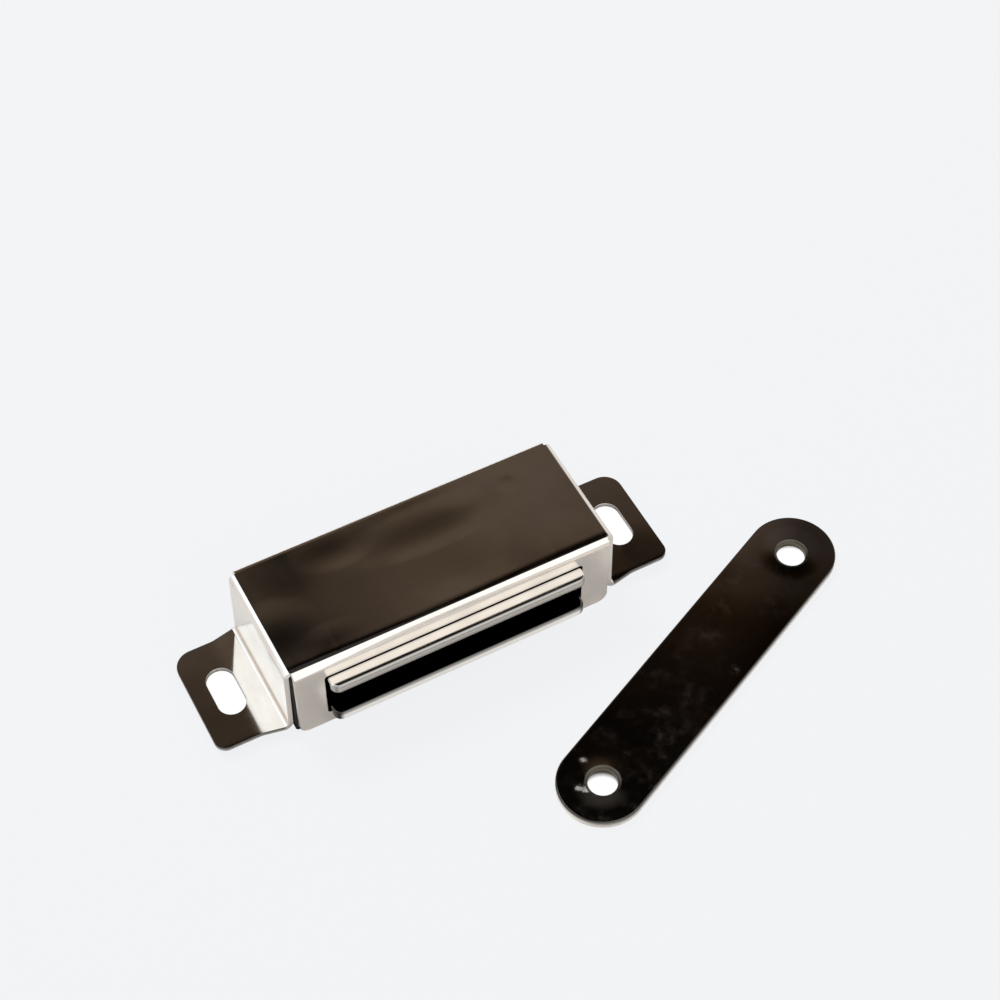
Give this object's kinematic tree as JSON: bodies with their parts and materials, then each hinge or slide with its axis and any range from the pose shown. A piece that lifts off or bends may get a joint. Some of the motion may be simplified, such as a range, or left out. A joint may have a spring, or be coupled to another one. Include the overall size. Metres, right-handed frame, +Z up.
{
  "type": "magnetic catch",
  "caption": "Folded sheet cabinet catch with slotted ears and a floating magnet between pole plates, with its flat round-ended strike plate beside it.",
  "frame": {"origin": "middle of the case, midway between the ear slots, on the surface that the case and the strike plate lie on", "axes": "+X along the case towards the right ear, -Y out of the window towards the door, +Z up from the mounting surface"},
  "size_m": [0.0789, 0.0449, 0.0118],
  "materials": {
    "polished_stainless": "polished stainless sheet with light handling marks",
    "black_moulding": "moulded black nylon, matt",
    "ferrite": "ground ferrite, dark grey",
    "pole_steel": "plated steel with sheared edges",
    "strike_steel": "polished steel with fine scratches"
  },
  "bodies": {
    "case": {"housing": "polished_stainless", "carrier": "black_moulding", "strike_plate": "strike_steel"},
    "pack": {"magnet": "ferrite", "upper_pole_plate": "pole_steel", "lower_pole_plate": "pole_steel"}
  },
  "joints": [
    {"name": "pack_float", "type": "slide", "parent": "case", "child": "pack", "axis": [0, 1, 0], "range_m": [0, 0.001]}
  ]
}
